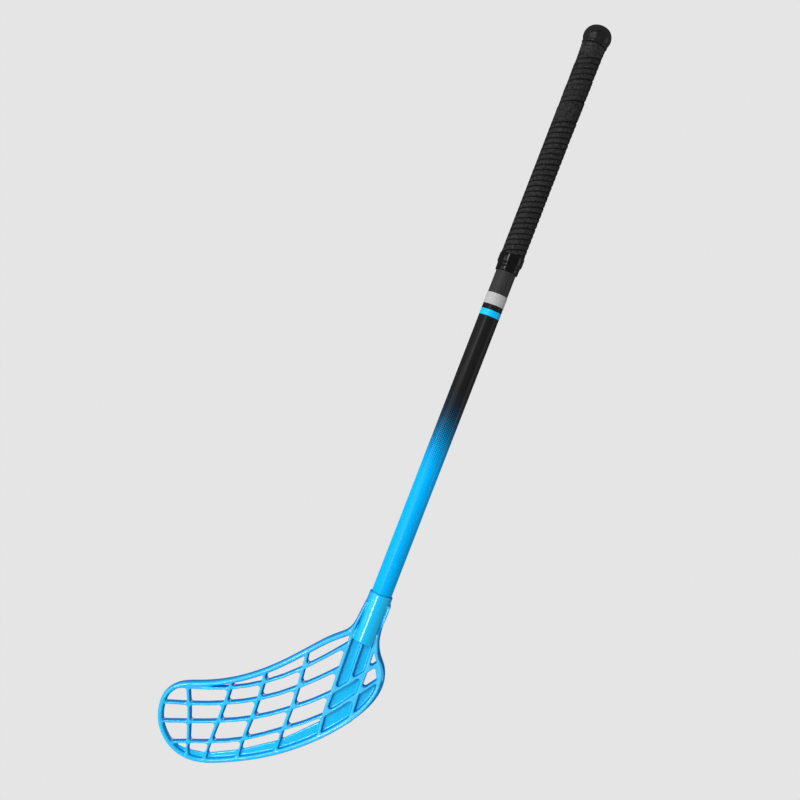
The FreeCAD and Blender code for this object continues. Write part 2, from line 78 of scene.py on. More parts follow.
# Crossings of the ribs, row by row from the top, each row from the toe to the heel
CROSSING_SHARES = (
    ((0.963, 0.139), (0.759, 0.036), (0.573, -0.072), (0.423, -0.076), (0.228, 0.044), (0.027, 0.148)),
    ((0.963, 0.052), (0.773, -0.099), (0.592, -0.195), (0.445, -0.200), (0.261, -0.121), (0.054, 0.035)),
    ((0.963, -0.151), (0.785, -0.279), (0.630, -0.348), (0.482, -0.366), (0.302, -0.314), (0.112, -0.201)),
    ((0.963, -0.374), (0.803, -0.469), (0.677, -0.527), (0.530, -0.556), (0.351, -0.522), (0.167, -0.435),
     (0.011, -0.294), (-0.060, -0.222)),
    ((0.963, -0.616), (0.826, -0.685), (0.733, -0.733), (0.588, -0.767), (0.406, -0.729), (0.224, -0.657),
     (0.064, -0.502), (-0.052, -0.396)),
    ((0.963, -0.890), (0.851, -0.878), (0.784, -0.947), (0.644, -1.006), (0.474, -1.003), (0.274, -0.934),
     (0.130, -0.806), (-0.044, -0.675)))

# Upper edge of the web along the sole, its small toe corner, and places in the heel
WEB_EDGE_SHARES = ((0.839, -0.761), (0.760, -0.844), (0.612, -0.871), (0.434, -0.839), (0.233, -0.705))
WEB_TOE_CORNER_SHARES = (0.894, -0.661)
PANEL_RIB_SHARES = ((-0.017, 0.080), (0.090, -0.366))
HEEL_UPRIGHT_TOP_SHARES = (-0.048, -0.038)
HEEL_RIM_SHARES = (-0.067, -0.212)
HEEL_OPENING_SHARES = (0.60, 0.76)

# Widths of the ribs, and the step of the grid that the blade is worked out on
CROSS_RIB = 3.2
UPRIGHT_RIB = 3.5
HEEL_RIB = 3.8
PANEL_RIB_WIDTH = 2.8
VOXEL = 0.6

# Blade's field: a blend is the width over which two forms run into each other, in millimetres
GRID_X = (-50.0, 243.0)
GRID_Y = (-106.0, 60.0)
GRID_W = (-15.0, 15.6)
OUTLINE_STEPS = 271
OUTLINE_END_LIFTS = (0.3, 3)
PARALLEL_SINE = 0.035
LEAST_BLEND = 0.2
NECK_SPAN = (6, 20)
NECK_SWELL = 1.7
PLATE_INSET = 2.0
PLATE_NECK_CUT = 2.8
PLATE_BLEND = 0.6
CELL_ROUNDING = 2.8
CELL_ROUNDING_SHARE = 0.40
CELL_LEAST_ROOM = 0.2
CELL_SAMPLES = 40
CELL_REACH = 4.0
CELL_BLEND = 2.0
WEB_BLEND = 1.6

# Rim: a cut is what the neck or the heel takes away from a width or a blend
HEEL_DIRECTION = (-0.975, -0.221)
HEEL_FACING_SPAN = (0.25, 0.85)
HEEL_FADE = (14, 40)
HEEL_WIDE_FADE = (-32, -16)
HEEL_RIM_GAIN = 2.0
HEEL_LEAN = 4.4
HEEL_LEAN_LOSS = 1.4
HEEL_LEAN_FADE = (-30, -5)
HEEL_LEAN_BLEND = 1.2
RIM_NECK_CUT = 3.4
RIM_RISE = 0.4
CREST_BLEND = 5.6
CREST_NECK_CUT = 3.8
CREST_HEEL_CUT = 3.6
INNER_BLEND = 4.4
INNER_NECK_CUT = 2.8
INNER_HEEL_CUT = 1.6
RIM_BLEND = 1.4

# Socket with its bore, screw seats and screw holes
SOCKET_EDGE = 0.9
SOCKET_BLEND = 0.9
BORE_BLEND = 0.5
SCREW_DEPTHS = (15.0, 37.0)
SEAT_RADIUS = 4.2
SEAT_TOP = 13.45
SEAT_BLEND = 1.2
SCREW_HOLE_RADIUS = 1.65
SCREW_HOLE_BLEND = 0.3

# Smoothing of the blade's mesh, and where its masks of painted wall shade and painted sheen start and end
SMOOTHING_ROUNDS = 5
SMOOTHING_STEPS = (0.5, -0.52)
WALL_SHADE_LEVEL_SPAN = (0.10, 0.85)
SHEEN_FROM = (-2.2, -1.0)
SHEEN_TO = (1.8, 3.4)
SHEEN_LEVEL_SPAN = (0.75, 0.98)
SHEEN_TOE_FADE = (40, 150)
SHEEN_TOE_LOSS = 0.75

# Sleeves, tape and cap: profiles are pairs of radius and height
LATHE_SEGMENTS = 128
SLEEVE_EDGE = 0.05
FILM_BORE = 10.95
FILM_FOOT = -1.0
LABEL_BORE = 11.1
LABEL_RADIUS = 11.22
TAPE_FROM_FOOT = (
    (10.98, 0), (11.95, 0), (12.2, 0.3), (12.32, 0.8), (12.34, 1.1), (12.38, 4.2), (12.36, 4.6), (12.2, 5.0),
    (12.1, 5.3), (12.25, 5.6), (12.42, 5.9), (12.5, 6.4), (12.52, 7.4), (12.5, 7.7), (12.4, 8.1),
    (12.55, 8.4), (13.0, 8.8), (13.35, 9.2), (13.48, 9.7), (13.52, 10.3))
TAPE_FROM_TOP = ((13.52, -1.4), (13.48, -0.4), (13.35, 0), (13.1, 0))
TAPE_INNER_STEP = ((13.1, 9.3), (10.98, 9.0))
CAP_LIP = (
    (10.95, 621.5), (12.3, 621.5), (13.1, 621.75), (13.65, 622.35), (13.95, 623.2), (13.95, 624.0),
    (13.75, 624.6), (13.55, 625.0), (13.62, 625.5), (13.95, 626.2), (14.4, 627.2), (14.8, 628.4),
    (15.1, 629.7))
CAP_RADIUS = 15.2
CAP_TIP_RADIUS = 0.02
CAP_BORE = 10.9
CROWN_FOOT = 631
CROWN_HEIGHT = 12.6
CROWN_POWER = 0.75
CROWN_STEPS = 30
TUBE_TOP = 636.0

# Grip: heights in millimetres, places along the band in turns, the rest in millimetres or shares
GRIP_LOW = 373.9
GRIP_HIGH = 621.4
GRIP_BORE = 11.0
GRIP_AROUND = 160
GRIP_ROWS = 760
GRIP_PHASE = 0.168
GRIP_INSET = 0.30
SWAY = 0.010
SWAY_CELLS = 8
SWAY_HEIGHT = 9
SWAY_SEED = 3
RIBS_PER_TURN = 4
RIB_SPAN = (0.55, 0.95)
RIB_DEPTH = 0.42
RIB_UPPER_LOSS = 0.15
RIB_COLLAR_LOSS = 0.8
RIB_PLAIN_LOSS = 0.92
BAND_EDGE = 0.036
BAND_EDGE_DEPTH = 0.20
BAND_EDGE_UPPER_DEPTH = 0.35
BAND_EDGE_COLLAR_LOSS = 0.6
BAND_STEP = 0.30
BAND_STEP_SHARES = (0.25, 0.75)
UPPER_SPAN = (515, 545)
COLLAR_SPAN = (606, 612)
PLAIN_START = (6.2, 6.5)
PLAIN_HALF_END = (7.0, 7.3)
PLAIN_END = (8.0, 8.3)
COARSE_WRINKLE = 0.09
COARSE_CELLS = 64
COARSE_HEIGHT = 2.6
COARSE_SEED = 5
FINE_WRINKLE = 0.05
FINE_CELLS = 128
FINE_HEIGHT = 1.2
FINE_SEED = 9
WRINKLE_SHARES = (0.45, 0.8, 0.9)
WRINKLE_COLLAR_LOSS = 0.7
ROLL_TOP = 619.4
ROLL_PITCH = 3.9
ROLL_HEIGHT = 0.15
FLARE = 0.35
FLARE_SPAN = (607, 621)
SHADE_COLLAR_LOSS = 0.25
SHADE_WRINKLE_SHARES = (0.10, 0.25)
SHADE_WRINKLE_HEIGHT = 0.1
SHADE_TOP = 0.8
SHADE_TOP_SPAN = (620.0, 621.4)
NOISE_CELLS = 64


def on_blade(shares):
    return np.array([shares[0] * BLADE_LENGTH, shares[1] * BLADE_HEIGHT])


def smooth_line(points):
    """Cubic spline through points, read by point number, fractions included."""
    p = np.array(points, float)
    h = np.linalg.norm(np.diff(p, axis=0), axis=1)
    n = len(p)
    left = np.eye(n)
    right = np.zeros_like(p)
    for i in range(1, n - 1):
        left[i, i - 1:i + 2] = (h[i - 1], 2 * (h[i - 1] + h[i]), h[i])
        right[i] = 6 * ((p[i + 1] - p[i]) / h[i] - (p[i] - p[i - 1]) / h[i - 1])
    m = np.linalg.solve(left, right)

    def at(number):
        number = np.atleast_1d(np.asarray(number, float))
        k = np.clip(number.astype(int), 0, n - 2)
        hk = h[k][:, None]
        b = (number - k)[:, None] * hk
        a = hk - b
        return ((m[k] * a ** 3 + m[k + 1] * b ** 3) / (6 * hk)
                + (p[k] / hk - m[k] * hk / 6) * a + (p[k + 1] / hk - m[k + 1] * hk / 6) * b)
    return at


def swing(x):
    return SWING_DEPTH / 2 * (1 - np.cos(math.pi * np.maximum(x, 0) / SWING_REACH))


def swing_slope(x):
    return SWING_DEPTH / 2 * np.sin(math.pi * np.maximum(x, 0) / SWING_REACH) * math.pi / SWING_REACH


def half_thickness(x):
    """Half the thickness of the blade, square to its bent face."""
    thick = HEEL_THICKNESS + (TOE_THICKNESS - HEEL_THICKNESS) * np.maximum(x, 0) / SWING_REACH
    return thick * np.cos(np.arctan(swing_slope(x))) / 2


def smooth_max(a, b, k):
    """Larger of two fields, rounded where they meet within k of each other."""
    h = np.maximum(k - np.abs(a - b), 0) / k
    return np.maximum(a, b) + h * h * k * 0.25


def smooth_min(a, b, k):
    return -smooth_max(-a, -b, k)


def smooth_step(value, low, high):
    share = np.clip((value - low) / (high - low), 0, 1)
    return share * share * (3 - 2 * share)


def polygon_field(corners, x, y):
    """Signed distance to a polygon, negative inside."""
    least = np.full(x.shape, 1e9, np.float32)
    sign = np.ones(x.shape, np.float32)
    for i in range(len(corners)):
        ax, ay = corners[i]
        bx, by = corners[i - 1]
        ex, ey = bx - ax, by - ay
        wx, wy = x - ax, y - ay
        t = np.clip((wx * ex + wy * ey) / (ex * ex + ey * ey), 0, 1)
        least = np.minimum(least, (wx - ex * t) ** 2 + (wy - ey * t) ** 2)
        above, below, side = y >= ay, y < by, ex * wy > ey * wx
        flip = (above & below & side) | (~above & ~below & ~side)
        sign = np.where(flip, -sign, sign)
    return (sign * np.sqrt(least)).astype(np.float32)


def moved_in(corners, margins):
    """Corners of a polygon whose sides are each moved in by a margin of their own."""
    n = len(corners)
    area = sum(corners[i - 1][0] * corners[i][1] - corners[i][0] * corners[i - 1][1] for i in range(n))
    side = 1 if area > 0 else -1
    lines = []
    for i in range(n):
        along = corners[(i + 1) % n] - corners[i]
        along = along / np.linalg.norm(along)
        lines.append((corners[i] + np.array([-along[1], along[0]]) * side * margins[i], along))
    result = []
    for i in range(n):
        p, a = lines[i]
        q, b = lines[i - 1]
        sine = b[0] * a[1] - b[1] * a[0]
        if abs(sine) < PARALLEL_SINE:
            result.append(p)
            continue
        d = p - q
        result.append(q + b * ((d[0] * a[1] - d[1] * a[0]) / sine))
    return result


def lattice_cells():
    """Cells of the lattice as (corners, margins, is it open right through)."""
    crossings = [[on_blade(s) for s in row] for row in CROSSING_SHARES]
    rows = [smooth_line(row) for row in crossings]
    first = [0, 0, 0, 0, 0, 0, 3, 3]
    uprights = [smooth_line([row[c] for row in crossings[f:]]) for c, f in enumerate(first)]
    row_margin = [0] + 4 * [CROSS_RIB / 2] + [0]
    upright_margin = [0] + 4 * [UPRIGHT_RIB / 2] + 2 * [HEEL_RIB / 2] + [0]
    cells = []

    def add(row, column, is_open):
        corners = [crossings[row][column], rows[row](column + 0.5)[0], crossings[row][column + 1],
                   uprights[column + 1](row + 0.5 - first[column + 1])[0], crossings[row + 1][column + 1],
                   rows[row + 1](column + 0.5)[0], crossings[row + 1][column],
                   uprights[column](row + 0.5 - first[column])[0]]
        sides = (row_margin[row], upright_margin[column + 1], row_margin[row + 1], upright_margin[column])
        cells.append((corners, [side for side in sides for _ in range(2)], is_open))

    for column in range(1, 5):
        add(0, column, True)
    for row in range(1, 4):
        for column in range(5):
            add(row, column, True)
    for column in range(7):
        add(4, column, False)
    add(3, 5, False)
    web = [on_blade(s) for s in WEB_EDGE_SHARES]
    margin = CROSS_RIB / 2
    side = UPRIGHT_RIB / 2
    cells.append(([on_blade(WEB_TOE_CORNER_SHARES), crossings[4][1], web[0]], [margin, side, 0], True))
    for column in range(1, 5):
        corners = [crossings[4][column], rows[4](column + 0.5)[0], crossings[4][column + 1],
                   web[column], web[column - 1]]
        cells.append((corners, [margin, margin, upright_margin[column + 1], 0, side], True))
    rib_top, rib_bottom = [on_blade(s) for s in PANEL_RIB_SHARES]
    heel_top = on_blade(HEEL_UPRIGHT_TOP_SHARES)
    heel = HEEL_RIB / 2
    rib = PANEL_RIB_WIDTH / 2
    left = [crossings[0][5], crossings[1][5], crossings[2][5], crossings[3][5], rib_bottom, rib_top]
    cells.append((left, [heel, heel, heel, margin, rib, 0], False))
    right = [rib_top, rib_bottom, crossings[3][6], heel_top]
    cells.append((right, [rib, margin, heel, 0], False))
    opening = [heel_top, on_blade(HEEL_RIM_SHARES), crossings[3][6]]
    cells.append((opening, [0, margin, heel], True))
    far = [crossings[row][6] + (crossings[row][7] - crossings[row][6]) * share
           for row, share in zip((3, 4), HEEL_OPENING_SHARES)]
    opening = [crossings[3][6], far[0], far[1], crossings[4][6]]
    cells.append((opening, [margin, 0, margin, heel], True))
    return cells


def cell_field(corners, margins, xs, ys, x, y):
    """Field of one rounded cell, and the stretch of the grid that it can reach."""
    low, high = np.min(corners, axis=0), np.max(corners, axis=0)
    samples = [np.linspace(low[axis], high[axis], CELL_SAMPLES) for axis in (0, 1)]
    plain = polygon_field(moved_in(corners, margins), *np.meshgrid(*samples, indexing="ij"))
    room = max(-float(plain.min()), CELL_LEAST_ROOM)
    rounding = min(CELL_ROUNDING, CELL_ROUNDING_SHARE * room)
    core = moved_in(corners, [margin + rounding for margin in margins])
    reach = CELL_REACH + rounding
    low, high = np.min(core, axis=0) - reach, np.max(core, axis=0) + reach
    near = (slice(*np.searchsorted(xs, (low[0], high[0]))), slice(*np.searchsorted(ys, (low[1], high[1]))))
    return (polygon_field(core, x[near], y[near]) - rounding)[:, :, None], near


def rim_field(inside, along, w, half, neck):
    """Field of the rim: round on its outer side, wider at the heel and slimmer at the neck."""
    away = np.gradient(inside[:, :, 0])
    heel_facing = HEEL_DIRECTION[0] * away[0] / VOXEL + HEEL_DIRECTION[1] * away[1] / VOXEL
    heel = smooth_step(heel_facing, *HEEL_FACING_SPAN)[:, :, None]
    heel = heel * (1 - smooth_step(along, *HEEL_FADE))
    wider = heel * (1 - smooth_step(along, *HEEL_WIDE_FADE))
    width = RIM_WIDTH - RIM_NECK_CUT * neck + HEEL_RIM_GAIN * wider
    blend = np.maximum(CREST_BLEND - CREST_NECK_CUT * neck - CREST_HEEL_CUT * heel, LEAST_BLEND)
    crest = smooth_max(inside, np.abs(w) - half - RIM_RISE * (1 - neck), blend)
    lean = HEEL_LEAN - HEEL_LEAN_LOSS * smooth_step(along, *HEEL_LEAN_FADE)
    lean = lean * heel * np.clip(0.5 - w / (2 * half), 0, 1)
    crest = smooth_max(crest, inside + lean, HEEL_LEAN_BLEND)
    blend = np.maximum(INNER_BLEND - INNER_NECK_CUT * neck - INNER_HEEL_CUT * heel, LEAST_BLEND)
    return smooth_max(crest, -inside - width, blend)


def with_socket(field, along, sideways, w):
    """The blade's field with the socket, its screw seats, its bore and its screw holes."""
    def from_screw(depth):
        return np.sqrt(sideways ** 2 + (along - BLADE_DROP + depth) ** 2)

    radius = np.sqrt(sideways ** 2 + w ** 2)
    low_end = BLADE_DROP - SOCKET_LENGTH
    wall = radius - SOCKET_RADIUS + SOCKET_EDGE
    ends = np.abs(along - (low_end + BLADE_DROP) / 2) - SOCKET_LENGTH / 2 + SOCKET_EDGE
    outside = np.sqrt(np.maximum(wall, 0) ** 2 + np.maximum(ends, 0) ** 2)
    socket = outside + np.minimum(np.maximum(wall, ends), 0) - SOCKET_EDGE
    field = smooth_min(field, socket, SOCKET_BLEND)
    for depth in SCREW_DEPTHS:
        seat = np.maximum(np.maximum(from_screw(depth) - SEAT_RADIUS, w - SEAT_TOP), -w)
        field = smooth_min(field, seat, SEAT_BLEND)
    bore = np.maximum(radius - SOCKET_BORE, BLADE_DROP - SOCKET_DEPTH - along)
    field = smooth_max(field, -bore, BORE_BLEND)
    for depth in SCREW_DEPTHS:
        hole = np.maximum(from_screw(depth) - SCREW_HOLE_RADIUS, -w)
        field = smooth_max(field, -hole, SCREW_HOLE_BLEND)
    return field


def blade_field(xs, ys, ws):
    """Distance field of the unbent blade, negative inside."""
    x, y = np.meshgrid(xs, ys, indexing="ij")
    w = ws[None, None, :]
    deep = np.abs(w)

    numbers = np.linspace(0, len(OUTLINE_SHARES) - 1, OUTLINE_STEPS)
    outline = smooth_line([on_blade(s) for s in OUTLINE_SHARES])(numbers)
    up_shaft = np.array([-math.sin(LIE), math.cos(LIE)])
    ends = [outline[-1] + up_shaft * OUTLINE_END_LIFTS[0], outline[0] + up_shaft * OUTLINE_END_LIFTS[1]]
    inside = polygon_field(list(outline) + ends, x, y)[:, :, None]
    along = (up_shaft[0] * x + up_shaft[1] * y)[:, :, None]
    sideways = (up_shaft[1] * x - up_shaft[0] * y)[:, :, None]
    neck = smooth_step(along, *NECK_SPAN)
    half = half_thickness(xs).astype(np.float32)[:, None, None] + NECK_SWELL * neck

    plate = deep - (half - RIB_INSET - PLATE_NECK_CUT * neck)
    field = smooth_max(inside + PLATE_INSET, plate, PLATE_BLEND)
    for corners, margins, is_open in lattice_cells():
        cell, near = cell_field(corners, margins, xs, ys, x, y)
        if not is_open:
            cell = smooth_max(cell, WEB_THICKNESS / 2 - deep, WEB_BLEND)
        field[near] = smooth_max(field[near], -cell, CELL_BLEND)
    field = smooth_min(field, rim_field(inside, along, w, half, neck), RIM_BLEND)
    return with_socket(field, along, sideways, w)


def surface_net(field):
    """Quads on the zero surface of a field, with corners in steps of its grid."""
    inside = field < 0
    count = np.zeros(tuple(n - 1 for n in field.shape), np.uint8)
    corner_list = [(i, j, k) for i in (0, 1) for j in (0, 1) for k in (0, 1)]
    for i, j, k in corner_list:
        count += inside[i:i + count.shape[0], j:j + count.shape[1], k:k + count.shape[2]]
    cells = np.argwhere((count > 0) & (count < 8))
    number = np.full(count.shape, -1, np.int32)
    number[tuple(cells.T)] = np.arange(len(cells))
    total = np.zeros((len(cells), 3))
    hits = np.zeros(len(cells))
    for a in corner_list:
        for axis in range(3):
            if a[axis]:
                continue
            b = tuple(v + (1 if n == axis else 0) for n, v in enumerate(a))
            va = field[tuple((cells + a).T)].astype(float)
            vb = field[tuple((cells + b).T)].astype(float)
            cross = (va < 0) != (vb < 0)
            t = np.where(cross, va / np.where(cross, va - vb, 1), 0)
            place = np.array(a, float) + t[:, None] * (np.array(b) - np.array(a))
            total += np.where(cross[:, None], place, 0)
            hits += cross
    points = cells + total / hits[:, None]
    quads = []
    for axis in range(3):
        u, v = [n for n in range(3) if n != axis]
        ahead = [slice(None)] * 3
        behind = [slice(None)] * 3
        behind[axis] = slice(0, -1)
        ahead[axis] = slice(1, None)
        change = inside[tuple(behind)] != inside[tuple(ahead)]
        at = np.argwhere(change)
        for n in (u, v):
            at = at[(at[:, n] > 0) & (at[:, n] < field.shape[n] - 1)]
        ring = []
        for du, dv in ((-1, -1), (0, -1), (0, 0), (-1, 0)):
            cell = at.copy()
            cell[:, u] += du
            cell[:, v] += dv
            ring.append(number[tuple(cell.T)])
        ring = np.stack(ring, 1)
        starts_inside = inside[tuple(at.T)]
        keep = starts_inside if axis != 1 else ~starts_inside
        quads.append(np.where(keep[:, None], ring, ring[:, ::-1]))
    return points, np.concatenate(quads)


def evened(points, quads):
    """Points of a mesh with the grid's small steps smoothed away and the volume nearly kept."""
    start = np.concatenate([quads[:, i] for i in range(4)] + [quads[:, i] for i in (1, 2, 3, 0)])
    stop = np.concatenate([quads[:, i] for i in (1, 2, 3, 0)] + [quads[:, i] for i in range(4)])
    count = np.bincount(start, minlength=len(points))
    for step in SMOOTHING_STEPS * SMOOTHING_ROUNDS:
        mean = np.stack([np.bincount(start, points[stop, axis], len(points)) / count for axis in range(3)], 1)
        points = points + step * (mean - points)
    return points


def new_mesh(name, points, faces, smooth=True):
    """Mesh object from arrays of points, in metres, and faces."""
    mesh = bpy.data.meshes.new(name)
    mesh.from_pydata([tuple(p) for p in points], [], [tuple(int(i) for i in f) for f in faces])
    mesh.update()
    if smooth:
        mesh.polygons.foreach_set("use_smooth", [True] * len(mesh.polygons))
    made = bpy.data.objects.new(name, mesh)
    bpy.context.scene.collection.objects.link(made)
    return made


def dress(piece, cad_node, material):
    """Lets a piece stand for a CAD node: hides the node, gives the piece a material and hangs it on the root
    body.
    """
    piece.data.materials.clear()
    piece.data.materials.append(material)
    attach(piece, "root")
    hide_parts(cad_node)


def make_blade():
    """The blade's mesh, bent and turned into place, with its masks of painted wall shade and painted sheen.
    """
    xs, ys, ws = [np.arange(*ends, VOXEL, dtype=np.float32) for ends in (GRID_X, GRID_Y, GRID_W)]
    points, quads = surface_net(blade_field(xs, ys, ws))
    points = evened(points, quads)
    x = xs[0] + points[:, 0] * VOXEL
    y = ys[0] + points[:, 1] * VOXEL
    w = ws[0] + points[:, 2] * VOXEL
    tilt = np.arctan(swing_slope(x))
    a = x - w * np.sin(tilt)
    n = swing(x) + w * np.cos(tilt)
    wx = -math.cos(LIE) * a - math.sin(LIE) * y
    wz = -math.sin(LIE) * a + math.cos(LIE) * y - BLADE_DROP
    world = np.stack([wx * math.cos(TURN) - n * math.sin(TURN),
                      wx * math.sin(TURN) + n * math.cos(TURN), wz], 1)
    made = new_mesh("blade_moulding", world * MM, quads)

    corner = np.stack([x, y, w], 1)[quads]
    facing = np.cross(corner[:, 2] - corner[:, 0], corner[:, 3] - corner[:, 1])
    total = np.stack([np.bincount(quads.ravel(), np.repeat(facing[:, axis], 4), len(x))
                      for axis in range(3)], 1)
    level = np.abs(total[:, 2]) / np.maximum(np.linalg.norm(total, axis=1), 1e-9)
    # Painted sheen: paler colour on the forward faces of ribs and rim, weaker towards the toe
    proud = np.abs(w) - half_thickness(x)
    painted_sheen = smooth_step(proud, *SHEEN_FROM) * (1 - smooth_step(proud, *SHEEN_TO))
    painted_sheen = painted_sheen * smooth_step(level, *SHEEN_LEVEL_SPAN)
    painted_sheen = painted_sheen * (1 - SHEEN_TOE_LOSS * smooth_step(x, *SHEEN_TOE_FADE))
    # Two masks: side is painted shade on walls turned away from the blade's face, the other is the painted
    # sheen
    for name, values in (("side", 1 - smooth_step(level, *WALL_SHADE_LEVEL_SPAN)), ("painted_sheen", painted_sheen)):
        layer = made.data.attributes.new(name, "FLOAT", "POINT")
        layer.data.foreach_set("value", values)
    return made


def circle(radius, height, count):
    """Points of a level circle round the shaft's axis."""
    angles = np.arange(count) * 2 * math.pi / count
    return np.stack([radius * np.cos(angles), radius * np.sin(angles), np.full(count, height)], 1)


def lathe(name, profile):
    """Turned piece from a profile of (radius, height), in millimetres, closed on itself."""
    points = np.concatenate([circle(radius, height, LATHE_SEGMENTS) for radius, height in profile])
    faces = []
    for i in range(len(profile)):
        this = i * LATHE_SEGMENTS
        other = (i + 1) % len(profile) * LATHE_SEGMENTS
        for k in range(LATHE_SEGMENTS):
            after = (k + 1) % LATHE_SEGMENTS
            faces.append((this + k, this + after, other + after, other + k))
    return new_mesh(name, points * MM, faces)


def soft_band(inner, outer, low, high, edge):
    """Profile of a sleeve whose outer edges are slightly rounded."""
    steps = [math.radians(a) for a in (0, 22.5, 45, 67.5, 90)]
    lower = [(outer - edge + edge * math.sin(a), low + edge - edge * math.cos(a)) for a in steps]
    upper = [(outer - edge + edge * math.cos(a), high - edge + edge * math.sin(a)) for a in steps]
    return [(inner, low)] + lower + upper + [(inner, high)]


def value_noise(u, v, seed):
    """Smooth noise from a small seeded table, wrapped both ways."""
    table = np.random.default_rng(seed).uniform(-1, 1, (NOISE_CELLS, NOISE_CELLS))
    iu, iv = np.floor(u).astype(int), np.floor(v).astype(int)
    fu, fv = u - iu, v - iv
    fu, fv = fu * fu * (3 - 2 * fu), fv * fv * (3 - 2 * fv)
    u0, u1 = iu % NOISE_CELLS, (iu + 1) % NOISE_CELLS
    v0, v1 = iv % NOISE_CELLS, (iv + 1) % NOISE_CELLS
    a = table[u0, v0] * (1 - fu) + table[u1, v0] * fu
    b = table[u0, v1] * (1 - fu) + table[u1, v1] * fu
    return a * (1 - fv) + b * fv


def grip_relief(turn, height):
    """Radius of the wound band and its painted shade in grooves, creases and under the cap, by share of a
    turn and height.
    """
    sway = value_noise(turn * SWAY_CELLS, height / SWAY_HEIGHT, SWAY_SEED) * SWAY
    wound = (height - GRIP_LOW) / GRIP_LEAD - turn + sway + GRIP_PHASE
    across = wound % 1.0
    along = np.floor(wound) + turn
    plain = 1 - 0.5 * smooth_step(along, *PLAIN_HALF_END) - 0.5 * smooth_step(along, *PLAIN_END)
    plain = smooth_step(along, *PLAIN_START) * plain
    upper = smooth_step(height, *UPPER_SPAN)
    collar = smooth_step(height, *COLLAR_SPAN)

    rib = np.abs(((across * RIBS_PER_TURN) % 1.0) * 2 - 1)
    line = smooth_step(rib, *RIB_SPAN) * (1 - RIB_UPPER_LOSS * upper) * (1 - RIB_COLLAR_LOSS * collar)
    line = line * (1 - RIB_PLAIN_LOSS * plain)
    edge = np.exp(-(np.minimum(across, 1 - across) / BAND_EDGE) ** 2)
    edge_depth = (BAND_EDGE_DEPTH + BAND_EDGE_UPPER_DEPTH * upper) * (1 - BAND_EDGE_COLLAR_LOSS * collar)
    step = (across - 0.5) * BAND_STEP * (BAND_STEP_SHARES[0] + BAND_STEP_SHARES[1] * upper)
    wrinkle = (value_noise(turn * COARSE_CELLS, height / COARSE_HEIGHT, COARSE_SEED) * COARSE_WRINKLE
               + value_noise(turn * FINE_CELLS, height / FINE_HEIGHT, FINE_SEED) * FINE_WRINKLE)
    wrinkled = WRINKLE_SHARES[0] + WRINKLE_SHARES[1] * upper + WRINKLE_SHARES[2] * plain
    rolls = np.cos((height - ROLL_TOP) * 2 * math.pi / ROLL_PITCH)

    radius = GRIP_RADIUS - GRIP_INSET + step - RIB_DEPTH * line - edge * edge_depth
    radius = radius + wrinkle * wrinkled * (1 - WRINKLE_COLLAR_LOSS * collar) + ROLL_HEIGHT * rolls * collar
    radius = radius + FLARE * smooth_step(height, *FLARE_SPAN)
    # Painted shade in the grooves, along the band's edges, in wrinkles and just under the cap
    crease_shade = (SHADE_WRINKLE_SHARES[0] + SHADE_WRINKLE_SHARES[1] * plain) * np.abs(wrinkle)
    shade = np.maximum(line, edge) - SHADE_COLLAR_LOSS * collar + crease_shade / SHADE_WRINKLE_HEIGHT
    shade = np.maximum(np.clip(shade, 0, 1), SHADE_TOP * smooth_step(height, *SHADE_TOP_SPAN))
    return radius, shade


def make_grip():
    """Wound band: helical ribs, deeper lines at the band's edges, wrinkles and a flare under the cap."""
    around, rows = GRIP_AROUND, GRIP_ROWS
    angle, height = np.meshgrid(np.arange(around) * 2 * math.pi / around,
                                np.linspace(GRIP_LOW, GRIP_HIGH, rows), indexing="ij")
    radius, shade = grip_relief(angle / (2 * math.pi), height)
    points = np.stack([radius * np.cos(angle), radius * np.sin(angle), height], 2).reshape(-1, 3)
    inner = [circle(GRIP_BORE, level, around) for level in (GRIP_LOW, GRIP_HIGH)]
    points = np.concatenate([points] + inner)
    base = around * rows
    faces = []
    for i in range(around):
        j = (i + 1) % around
        for k in range(rows - 1):
            faces.append((i * rows + k, j * rows + k, j * rows + k + 1, i * rows + k + 1))
        faces.append((base + i, base + j, j * rows, i * rows))
        faces.append((i * rows + rows - 1, j * rows + rows - 1, base + around + j, base + around + i))
        faces.append((base + j, base + i, base + around + i, base + around + j))
    made = new_mesh("grip_band", points * MM, faces)
    # Painted shade in grooves, creases and under the cap, carried as a point value
    layer = made.data.attributes.new("groove_shade", "FLOAT", "POINT")
    layer.data.foreach_set("value", np.concatenate([shade.reshape(-1), np.ones(2 * around)]))
    return made


# Materials: colours are linear, lengths in metres
GLOSS_FADE = (0.25, 0.72)
BLADE_BLUE = (0.0, 0.48, 0.90)
BLADE_TONES = ((0.0, 0.425, 0.78), (0.0, 0.455, 0.81))
# Painted sheen for the faces of ribs and rim, and painted shade for their walls
BLADE_PAINTED_SHEEN = (0.052, 0.46, 0.81)
BLADE_WALL_SHADE = (0.0, 0.205, 0.60)
FILM_BLUE = (0.0, 0.39, 0.87)
FILM_STOPS = ((0.0, FILM_BLUE), (0.30, (0.0, 0.27, 0.60)), (0.60, (0.003, 0.050, 0.11)),
              (0.92, (0.0085, 0.0085, 0.009)))
FILM_FADE_START = 0.144
FILM_FADE_LENGTH = 0.070
DOTS_AROUND = 25.0
DOTS_ALONG = 2250.0
DOT_SHARE = 0.40
GRAIN_SHARE = 0.10
GRIP_TONE = (0.009, 0.009, 0.009)
GRIP_TONES = ((0.007, 0.007, 0.007), (0.036, 0.036, 0.036))
